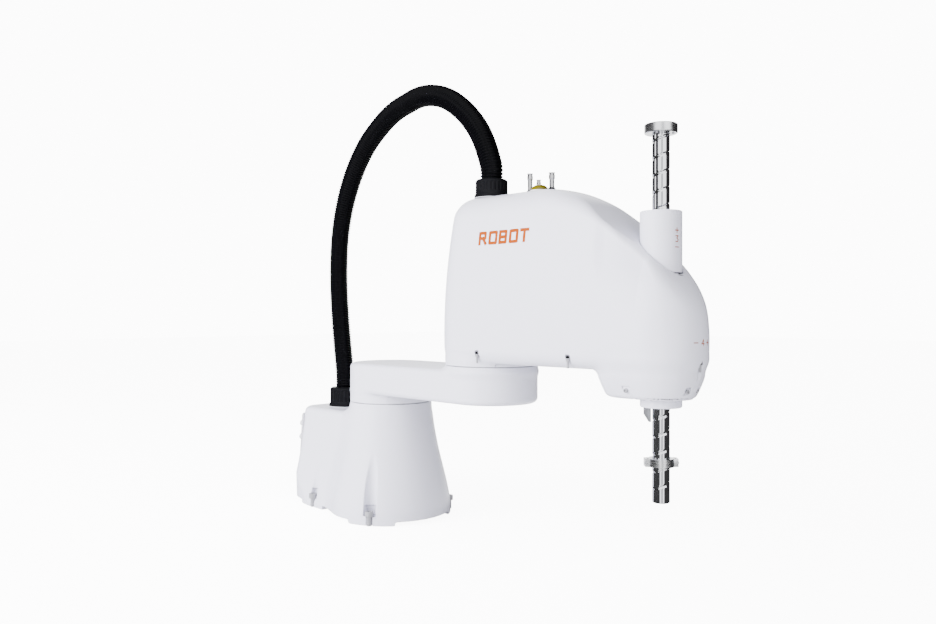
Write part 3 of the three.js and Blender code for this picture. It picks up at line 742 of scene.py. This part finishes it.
def cap_screw(name, body, at, head_r, head_bottom, head_top, shank_r, shank_bottom, *replaced, place=None,
              finish="bolt_steel"):
    """Socket-head screw on a body: turned head and shank with a hexagonal socket."""
    depth = (head_top - head_bottom) * 0.55
    socket = head_r * 0.5
    around = 48
    turn = full_turn(around)
    hexagon = socket / np.cos((turn + math.pi / 6) % (math.pi / 3) - math.pi / 6)
    rows = [(0.0, head_top - depth), (hexagon, head_top - depth), (hexagon, head_top - 0.2),
            (hexagon + 0.25, head_top), (head_r - 0.7, head_top), (head_r - 0.2, head_top - 0.2),
            (head_r, head_top - 0.8), (head_r, head_bottom + 0.3), (head_r - 0.2, head_bottom),
            (shank_r, head_bottom), (shank_r, shank_bottom), (0.0, shank_bottom)]
    rings = [level_ring(r, turn, z) for r, z in rows]
    faces = rings_to_faces(len(rings), around)
    piece = new_object(name, np.vstack(rings) + np.array([*at, 0.0]), faces, finish, 30)
    flip_outward(piece, weld=True)
    if place is not None:
        piece.data.transform(place)
    seat(piece, body, "bolt_steel", *replaced)


def shift(x, y, z):
    return Matrix.Translation(Vector((x, y, z)) * MM)


def turn_about(x, y, degrees):
    move = shift(x, y, 0)
    return move @ Matrix.Rotation(math.radians(degrees), 4, "Z") @ move.inverted()


def add_cover_screws():
    """Socket screws: black ones up the cover's channels, bright ones in the pockets round the nose."""
    places = [((sx, sy, channel_top(sx) - 1.4), (0, 0, -1)) for sx, sy in COVER_SCREWS]
    side_x, side_y = SIDE_POCKET
    places += [((side_x, side * (side_y + SCREW_GAP), POCKET_Z), (0, side, 0)) for side in (-1, 1)]
    for angle in FRONT_POCKETS:
        c, s = math.cos(math.radians(angle)), math.sin(math.radians(angle))
        r = FRONT_POCKET_R + SCREW_GAP
        places.append(((J3_X + r * c, r * s, POCKET_Z), (c, s, 0)))
    for number, (at, facing) in enumerate(places, 1):
        turn = Vector((0, 0, 1)).rotation_difference(Vector(facing)).to_matrix().to_4x4()
        finish = "black_oxide" if number <= len(COVER_SCREWS) else "bolt_steel"
        cap_screw(f"cover_screw_{number}", "arm2", (0, 0), 2.6, 0.2, 2.4, 1.4, 0.0, place=shift(*at) @ turn,
                  finish=finish)


add_cover_screws()

for number, (bx, by) in enumerate(BOLT_PLACES, 1):
    cap_screw(f"base_bolt_{number}", "base", (bx, by), 6.5, BOLT_SEAT + 0.2, BOLT_SEAT + 8, 4, 0.6,
              f"mounting_bolt_{number}")

for seam, x, body, low in (("j1", 0, "base", 176.73), ("j2", J2_X, "arm1", 243.42)):
    turned(f"{seam}_seam_seal", [(54, low), (63.2, low), (63.2, low + 0.26), (54, low + 0.26)], (x, 0, 0),
           "belt_rubber", body, r=0)


def add_gland(name, x, bottom, top, flange, body_r, body, node_name):
    outline = [(16.4, bottom), (flange, bottom), (flange, bottom + 3.6), (body_r + 0.4, bottom + 5.4),
               (body_r, bottom + 7), (body_r, top - 2.5), (body_r - 2.4, top), (16.4, top)]
    turned(name, outline, (x, 0, 0), "gland_plastic", body, node_name, r=0.8, segments=192,
           flutes=(24, 0.9, bottom + 9, top - 5))
    turned(f"{name}_lip", [(14.2, top - 1.6), (16.3, top - 1.6), (16.3, top - 0.2), (14.2, top - 0.2)],
           (x, 0, 0), "belt_rubber", body, r=0.3)


add_gland("base_gland", -125, 158.6, 190, 27, 25, "base", "base_hose_gland")
add_gland("arm_gland", J2_X, 475.4, 501, 24, 22.5, "arm2", "arm_hose_gland")
for end, x, z, r, body in (("base", -125, 158.0, 27.4, "base"), ("arm", J2_X, 474.8, 24.4, "arm2")):
    turned(f"{end}_gland_gasket", [(15, z), (r, z), (r, z + 0.55), (15, z + 0.55)], (x, 0, 0),
           "fitting_plastic", body, r=0.15)

# Sleeve, collar, cap and shaft

QUILL = (J3_X, 0, 0)
turned("quill_sleeve", [(21, 362), (24, 362), (24, 433), (21, 433)], QUILL, "white_paint", "arm2",
       "shaft_sleeve", r=[0.2, 0.2, 1.4, 0.6], segments=144)
turned("quill_sleeve_seal", [(10.6, 424), (20.8, 424), (20.8, 428.5), (14, 428.5), (10.6, 427)], QUILL,
       "belt_rubber", "arm2", r=0.5)
turned("quill_collar", [(11.5, 207.4), (23.2, 207.4), (24, 209), (24, 217.38), (11.5, 217.38)], QUILL,
       "white_paint", "arm2", "lower_collar", r=[0.4, 0.8, 0.6, 0.3, 0.3], segments=144)
turned("quill_wiper", [(10.5, 206.0), (13.6, 206.0), (14.2, 207.2), (10.5, 207.2)], QUILL,
       "belt_rubber", "arm2", r=0.3)

TAB_TURN = turn_about(J3_X, 0, 46)
UPRIGHT = Matrix.Rotation(math.radians(90), 4, "X")
tab_place = TAB_TURN @ shift(J3_X, 0, 0) @ UPRIGHT
tab = prism("quill_stop_tab", [(-11.8, 207.1), (-11.8, 190.2), (-14.2, 190.2), (-20, 199.5), (-20, 207.1)],
            -2, 2, "stop_steel", 0.4, tab_place)
seat(tab, "arm2", "stop_steel", "shaft_stop_tab")

CAP = [(10.3, 522.5), (18.2, 522.5), (19, 523.4), (19, 532.6), (18.2, 533.4), (7, 533.4), (7, 524.4),
       (10.3, 524.4)]
turned("quill_cap", CAP, QUILL, "turned_aluminium", "shaft", "shaft_cap",
       r=[0.2, 0.3, 0.3, 0.3, 0.3, 0.5, 0.2, 0.2], segments=144)
for number, degrees in enumerate((-75, 15), 1):
    cap_screw(f"cap_screw_{number}", "shaft", (J3_X + 14.4, 0), 2.4, 532.9, 533.38, 1.4, 521.2,
              place=turn_about(J3_X, 0, degrees))

SPLINES = 4
SHAFT_R = 10
SHAFT_LOW, SHAFT_HIGH = 97.4, 524.0
LEAD = 20.0
HELIX_COSINE = 0.953


def add_shaft():
    """Hollow quill with ball-spline grooves along it and a ball-screw groove around it."""
    around, step = 120, 0.7
    heights = np.linspace(SHAFT_LOW + 1, SHAFT_HIGH - 0.5, int((SHAFT_HIGH - SHAFT_LOW) / step))
    turn = full_turn(around)
    rings = [(7.4, SHAFT_LOW), (9.0, SHAFT_LOW), (9.5, SHAFT_LOW + 0.25)]
    for z in heights:
        flute = np.abs((turn * SPLINES / (2 * np.pi) + 0.5) % 1 - 0.5) * 2 * np.pi * SHAFT_R / SPLINES
        depth = 0.75 * np.sqrt(np.clip(1 - (flute / 1.7) ** 2, 0, 1))
        wind = ((z / LEAD - turn / (2 * np.pi) + 0.5) % 1 - 0.5) * LEAD * HELIX_COSINE
        depth = maximum(depth, 0.8 * np.sqrt(np.clip(1 - (wind / 1.5) ** 2, 0, 1)))
        depth *= ease(z, 112.0, 113.5)
        rings.append((SHAFT_R - depth, z))
    rings += [(9.6, SHAFT_HIGH), (7.4, SHAFT_HIGH), (7.0, SHAFT_HIGH - 0.4), (7.0, SHAFT_LOW + 0.4)]
    points = np.vstack([level_ring(r, turn, z) for r, z in rings]) + np.array(QUILL)
    shaft = new_object("quill_shaft", points, rings_to_faces(len(rings), around, closed=True),
                       "shaft_chrome", 38)
    flip_outward(shaft)
    seat(shaft, "shaft", "shaft_chrome", "spline_shaft")


add_shaft()


def add_stop_ring():
    """Split clamp collar: a round body and two ears with a slot, shown as a thin black sheet of painted
    shade, and a clamp screw.
    """
    ear, bore, chamfer, low, high = 19.2, 10.5, 0.3, 139.0, 148.6
    outline = circle(0, 0, 15, 40, 22, 158) + [(-ear, 5), (-ear, -5)]
    outline = np.array(outline + circle(0, 0, 15, 40, 202, 338) + [(ear, -5), (ear, 5)])
    reach = hypot(*outline.T)[:, None]
    hole, inset = outline * bore / reach, outline * (1 - chamfer / reach)
    rows = [np.column_stack([flat + (J3_X, 0), np.full(len(flat), z)]) for flat, z in (
        (hole, low), (inset, low), (outline, low + chamfer), (outline, high - chamfer), (inset, high),
        (hole, high))]
    piece = new_object("stop_collar", np.vstack(rows), rings_to_faces(len(rows), len(outline), closed=True),
                       "turned_aluminium", 35)
    flip_outward(piece)
    piece.data.transform(TAB_TURN)
    seat(piece, "shaft", "turned_aluminium", "stop_ring")
    # The slots are thin black sheets across the ears: painted shade in place of the dark gaps.
    for number, side in enumerate((-1, 1), 1):
        near, far = J3_X + side * 15.2, J3_X + side * 16.4
        slot = prism(f"stop_collar_slot_shade_{number}", [(near, -5.12), (far, -5.12), (far, 5.12), (near, 5.12)],
                     low - 0.05, high + 0.05, "belt_rubber", 0.02, TAB_TURN)
        seat(slot, "shaft", "belt_rubber")
    for number, side in enumerate((-1, 1), 1):
        cap_screw(f"stop_collar_screw_{number}", "shaft", (0, 0), 2.2, 4.2, 5.3, 1.2, 3.0,
                  place=TAB_TURN @ shift(J3_X + side * 17.8, 0, 143.8) @ UPRIGHT)


add_stop_ring()

# Signal lamp and air fittings on the cover

LAMP_X, LAMP_SEAT = 314.0, 475.3
DOME_R, DOME_SEAT, DOME_RISE = 11.5, 477.2, 7.4
turned("lamp_socket", [(9, LAMP_SEAT), (12.5, LAMP_SEAT), (12.5, 476.9), (9, 476.9)], (LAMP_X, 0, 0),
       "fitting_plastic", "arm2", "lamp_base", r=0.4)
climb = np.linspace(0, math.pi / 2, 14)[:-1]
dome = [(0, DOME_SEAT), *[(DOME_R * math.cos(a), DOME_SEAT + DOME_RISE * math.sin(a)) for a in climb],
        (0, DOME_SEAT + DOME_RISE)]
turned("lamp_lens_dome", dome, (LAMP_X, 0, 0), "lamp_lens", "arm2", "lamp_dome", r=0)

for number, (x, y, r, top) in enumerate([(297, 0, 3.8, 501), (300, 14, 3, 494), (335, 0, 4, 498)], 1):
    nut = [(r * 0.4, LAMP_SEAT), (r + 0.9, LAMP_SEAT), (r + 0.9, LAMP_SEAT + 3), (r * 0.4, LAMP_SEAT + 3)]
    turned(f"air_fitting_{number}_nut", nut, (x, y, 0), "gland_plastic", "arm2", f"arm_air_fitting_{number}",
           r=0.3, segments=6)
    tube = [(r * 0.45, LAMP_SEAT + 3.1), (r - 0.7, LAMP_SEAT + 3.1), (r - 0.7, top - 9), (r, top - 8),
            (r, top - 3.2), (r - 0.5, top - 2.8), (r - 0.5, top - 1.2), (r + 0.2, top - 0.9), (r + 0.2, top),
            (r * 0.45, top)]
    turned(f"air_fitting_{number}", tube, (x, y, 0), "connector_shell", "arm2", r=0.3, segments=48)

# Rear panel with its connectors

PANEL_Z = 92.0
BOX_RISE = BOX_TOP - SKIRT
REAR_SLOPE = math.atan(15 / BOX_RISE)
REAR_X = -185 - 15 * (1 - (PANEL_Z - SKIRT) / BOX_RISE) - 0.45
ON_PANEL = shift(REAR_X, 0, PANEL_Z) @ Matrix.Rotation(REAR_SLOPE, 4, "Y")
FLAT = Matrix(((0, 0, -1, 0), (1, 0, 0, 0), (0, 1, 0, 0), (0, 0, 0, 1)))


def rounded_outline(y0, y1, z0, z1, r):
    points = []
    y0, y1, z0, z1 = y0 + r, y1 - r, z0 + r, z1 - r
    for y, z, start in ((y1, z1, 0), (y0, z1, 90), (y0, z0, 180), (y1, z0, 270)):
        points += circle(y, z, r, 7, start, start + 90)
    return points


def on_panel(name, outline, low, high, slot, bevel, *replaced):
    piece = prism(name, outline, low, high, slot, bevel, ON_PANEL @ FLAT)
    return seat(piece, "base", slot, *replaced)


on_panel("connector_panel", rounded_outline(-44, 44, -52, 52, 4), -2.6, 3, "panel", 0.5, "rear_panel")
on_panel("power_socket", rounded_outline(4, 34, -44, -16, 3), 3.2, 7, "connector_plastic", 0.5,
         "power_connector")
on_panel("power_socket_hood", rounded_outline(7, 31, -41, -19, 4), 7.05, 17.2, "connector_plastic", 1.0)
on_panel("signal_socket", rounded_outline(-2, 36, 12, 26, 1.5), 3.2, 5.2, "connector_shell", 0.4,
         "signal_connector")
on_panel("signal_socket_shell", rounded_outline(4, 30, 14.5, 23.5, 3), 5.25, 12.2, "connector_shell", 0.4)
for number, (y, z) in enumerate([(0.8, 19), (33.2, 19)], 1):
    on_panel(f"signal_jack_{number}", circle(y, z, 2.2, 6), 5.25, 9.0, "bolt_steel", 0.2)
for number, (y, z) in enumerate([(-39, -47), (39, -47), (-39, 47), (39, 47), (-39, 0), (39, 0)], 1):
    cap_screw(f"panel_screw_{number}", "base", (y, z), 2.6, 3.05, 4.9, 1.3, 1.0, place=ON_PANEL @ FLAT)
for number, up in enumerate((30, 6), 1):
    outline = [(2.2, 3.2), (6.5, 3.2), (6.5, 11), (5, 11.5), (5, 18.4), (4.5, 18.8), (4.5, 20), (5.2, 20.4),
               (5.2, 22), (2.2, 22)]
    fitting = lathe(f"base_fitting_{number}", outline, (0, 0, 0), "fitting_plastic", segments=48, axis="-x")
    fitting.data.transform(ON_PANEL @ shift(0, -30, up))
    seat(fitting, "base", "fitting_plastic", f"base_air_fitting_{number}")

# Printed marks: thin ink on the surface below them


def ink(name, strokes, surface):
    """Thin bars (u0, v0, u1, v1, width) that follow a surface, given as surface(u, v) -> point."""
    vertices, faces = [], []
    for u0, v0, u1, v1, width in strokes:
        length = math.hypot(u1 - u0, v1 - v0)
        du, dv = (u1 - u0) / length, (v1 - v0) / length
        u0, v0, length = u0 - du * width * 0.45, v0 - dv * width * 0.45, length + 0.9 * width
        count = max(2, int(length / 0.8) + 1)
        first = len(vertices)
        for t in np.linspace(0, length, count):
            for side in (-width / 2, width / 2):
                u, v = u0 + du * t - dv * side, v0 + dv * t + du * side
                point = np.array(surface(u, v))
                h = 0.3
                nu = np.array(surface(u + h, v)) - np.array(surface(u - h, v))
                nv = np.array(surface(u, v + h)) - np.array(surface(u, v - h))
                normal = np.cross(nu, nv)
                normal /= np.linalg.norm(normal)
                vertices += [point + normal * 0.14, point - normal * 0.1]
        for i in range(count - 1):
            a = first + 4 * i
            b = a + 4
            faces += [(a, a + 2, b + 2, b), (a + 1, b + 1, b + 3, a + 3)]
            faces += [(a, b, b + 1, a + 1), (a + 2, a + 3, b + 3, b + 2)]
        last = first + 4 * (count - 1)
        faces += [(first, first + 1, first + 3, first + 2), (last, last + 2, last + 3, last + 1)]
    piece = new_object(name, vertices, faces, "mark_orange", 40)
    flip_outward(piece)
    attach(piece, "arm2")


def out_of(field, centre, direction, low, high):
    """The farthest point of a field's solid from centre along direction."""
    reach = np.linspace(high, low, 900)
    points = np.array(centre) + reach[:, None] * np.array(direction)
    inside = np.argmax(field(points.T[0], points.T[1], points.T[2]) < 0)
    a, b = reach[max(inside - 1, 0)], reach[inside]
    for _ in range(20):
        mid = (a + b) / 2
        point = np.array(centre) + mid * np.array(direction)
        value = field(*[np.array([c]) for c in point])[0]
        a, b = (a, mid) if value < 0 else (mid, b)
    return np.array(centre) + (a + b) / 2 * np.array(direction)


def nose_surface(u, v):
    a = u / 54
    return out_of(cover_outside, (J3_X, 0, v), (math.cos(a), math.sin(a), 0), 20, 80)


def sleeve_surface(u, v):
    a = u / 24
    return (J3_X + 24 * math.cos(a), 24 * math.sin(a), v)


def flank_surface(u, v):
    return out_of(cover_outside, (u, 0, v), (0, -1, 0), 20, 80)


def plus(u, v, size, width):
    return [(u - size, v, u + size, v, width), (u, v - size, u, v - width / 2, width),
            (u, v + width / 2, u, v + size, width)]


def figure(strokes, u, v, size):
    return [(u + a * size, v + b * size, u + c * size, v + d * size, 1.0) for a, b, c, d in strokes]


LETTERS = {
    "R": [(-1, -1, -1, 1), (-1, 1, 0.5, 1), (0.7, 0.9, 0.7, 0.1), (-1, 0, 0.5, 0), (0, 0, 0.9, -1)],
    "O": [(-0.8, -1, 0.8, -1), (-0.8, 1, 0.8, 1), (-1, -0.9, -1, 0.9), (1, -0.9, 1, 0.9)],
    "B": [(-1, -1, -1, 1), (-1, 1, 0.6, 1), (-1, 0, 0.6, 0), (-1, -1, 0.6, -1), (0.8, -0.9, 0.8, -0.1),
          (0.8, 0.1, 0.8, 0.9)],
    "T": [(-1, 1, 1, 1), (0, 1, 0, -1)],
}
word = []
for place, letter in enumerate("ROBOT"):
    u, v = 264.5 + 17.6 * place, 413.5
    word += [(u + a * 5.6, v + b * 7.0, u + c * 5.6, v + d * 7.0, 4.2) for a, b, c, d in LETTERS[letter]]
ink("mark_flank", word, flank_surface)
FOUR = [(0.4, -1, 0.4, 1), (0.4, 1, -0.7, -0.35), (-0.7, -0.35, 0.9, -0.35)]
THREE = [(-0.6, 1, 0.6, 1), (0.6, 1, -0.1, 0.2), (-0.1, 0.2, 0.6, -0.35), (0.6, -0.35, 0.3, -1),
         (0.3, -1, -0.6, -1)]
ink("mark_axis_4", figure(FOUR, 0, 283, 3.4) + plus(12, 283, 3, 1) + [(-15, 283, -9, 283, 1)], nose_surface)
ink("mark_axis_3", figure(THREE, -4, 400, 3.2) + plus(-4, 409.5, 2.6, 1) + [(-6.6, 390.5, -1.4, 390.5, 1)],
    sleeve_surface)

# CAD nodes that stay get their slot's finish

for name, slot in SLOT_OF.items():
    cad = bpy.data.objects.get(name)
    if cad is not None and cad.type == "MESH":
        for material_slot in cad.material_slots:
            material_slot.material = MATERIALS[slot]


# Studio

def add_stage():
    floor = bpy.data.meshes.new("floor")
    floor.from_pydata([(-9, -9, 0), (9, -9, 0), (9, 9, 0), (-9, 9, 0)], [], [(0, 1, 2, 3)])
    obj = linked("floor", floor)
    obj.location.z = -0.0005
    paper = finish_material("floor_paper", (0.93, 0.93, 0.94), 0.9, vary=0.004, bump=0.0, specular=0.0)
    tree = paper.node_tree
    shader = tree.nodes["Principled BSDF"]
    # To glossy rays the floor is black and glows with the dark-and-white wall pattern: a painted reflection
    # for the chrome to mirror. To the camera it glows evenly white.
    ray = node(tree, "LightPath").outputs
    place = node(tree, "NewGeometry").outputs["Position"]
    away = node(tree, "VectorMath", {0: place, 1: (J3_X * MM, 0, 0)}, operation="SUBTRACT")
    walls = mirrored_walls(tree, away.outputs["Vector"], 0.93)
    color = node(tree, "Mix", {"Factor": ray["Is Glossy Ray"], "A": (1, 1, 1, 1), "B": walls},
                 data_type="RGBA")
    glow = node(tree, "Math", {0: ray["Is Camera Ray"], 1: FLOOR_GLOW}, operation="MULTIPLY")
    glint = node(tree, "Math", {0: ray["Is Glossy Ray"], 1: SKY, 2: glow.outputs["Value"]},
                 operation="MULTIPLY_ADD")
    tree.links.new(color.outputs["Result"], shader.inputs["Emission Color"])
    tree.links.new(glint.outputs["Value"], shader.inputs["Emission Strength"])
    white = shader.inputs["Base Color"].links[0].from_socket
    black_to_reflections = node(tree, "Mix", {"Factor": ray["Is Glossy Ray"], "A": white, "B": (0.01, 0.01, 0.01, 1)},
                 data_type="RGBA")
    tree.links.new(black_to_reflections.outputs["Result"], shader.inputs["Base Color"])
    floor.materials.append(paper)
    add_world()


def mirrored_walls(tree, direction, front):
    """White towards the camera and behind the robot, dark to both sides: what chrome shows."""
    flat = node(tree, "VectorMath", {0: direction, 1: (1, 1, 0.35)}, operation="MULTIPLY").outputs["Vector"]
    unit = node(tree, "VectorMath", {0: flat}, operation="NORMALIZE").outputs["Vector"]
    facing = node(tree, "VectorMath", {0: unit, 1: -VIEW}, operation="DOT_PRODUCT")
    spread = node(tree, "MapRange", {"Value": facing.outputs["Value"], "From Min": -1.0, "From Max": 1.0})
    ramp = node(tree, "ValToRGB")
    tree.links.new(spread.outputs["Result"], ramp.inputs["Fac"])
    wall = (WALL_TONE, WALL_TONE, WALL_TONE * 1.04, 1)
    stops = ramp.color_ramp.elements
    stops[0].position, stops[0].color = 0.03, (1, 1, 1, 1)
    stops[1].position, stops[1].color = front + 0.04, (1, 1, 1, 1)
    for position in (0.05, front):
        stops.new(position).color = wall
    stops.new(0.988).color = (1, 1, 1, 1)
    stops.new(0.998).color = (0.12, 0.12, 0.13, 1)
    return ramp.outputs["Color"]


def add_world():
    """Soft light, stronger from the camera's side, a white backdrop, and walls that only chrome mirrors."""
    world = bpy.data.worlds.new("studio")
    bpy.context.scene.world = world
    world.use_nodes = True
    tree = world.node_tree
    ray = node(tree, "LightPath").outputs
    direction = node(tree, "TexCoord").outputs["Generated"]
    slant = node(tree, "VectorMath", {0: direction, 1: (-0.45, -0.5, -0.45)}, operation="DOT_PRODUCT")
    soft = node(tree, "Math", {0: slant.outputs["Value"], 1: 1.0}, operation="ADD").outputs["Value"]
    walls = mirrored_walls(tree, direction, 0.76)
    mirrored = node(tree, "Mix", {"Factor": ray["Is Glossy Ray"], "A": soft, "B": walls},
                    data_type="RGBA")
    seen = node(tree, "Mix", {"Factor": ray["Is Camera Ray"], "A": SKY, "B": BACKDROP}, data_type="FLOAT")
    shade = node(tree, "Mix", {"Factor": ray["Is Camera Ray"], "A": mirrored.outputs["Result"],
                                         "B": (1, 1, 1, 1)}, data_type="RGBA")
    background = tree.nodes["Background"]
    tree.links.new(shade.outputs["Result"], background.inputs["Color"])
    tree.links.new(seen.outputs["Result"], background.inputs["Strength"])


SKY = 2.7
BACKDROP = 12.0
FLOOR_GLOW = 9.5
WALL_TONE = 0.01


def add_light(name, place, aim, size, power):
    data = bpy.data.lights.new(name, "AREA")
    data.shape = "RECTANGLE"
    data.size, data.size_y = size
    data.energy = power
    light = linked(name, data)
    light.location = place
    light.visible_glossy = False
    light.rotation_mode = "QUATERNION"
    light.rotation_quaternion = (Vector(aim) - Vector(place)).to_track_quat("-Z", "Y")


add_stage()
add_light("key", (-0.5, -2.3, 0.95), (0.2, 0, 0.3), (1.8, 1.8), 200)
add_light("fill", (2.2, -0.6, 0.9), (0.3, 0, 0.3), (1.2, 1.8), 8)
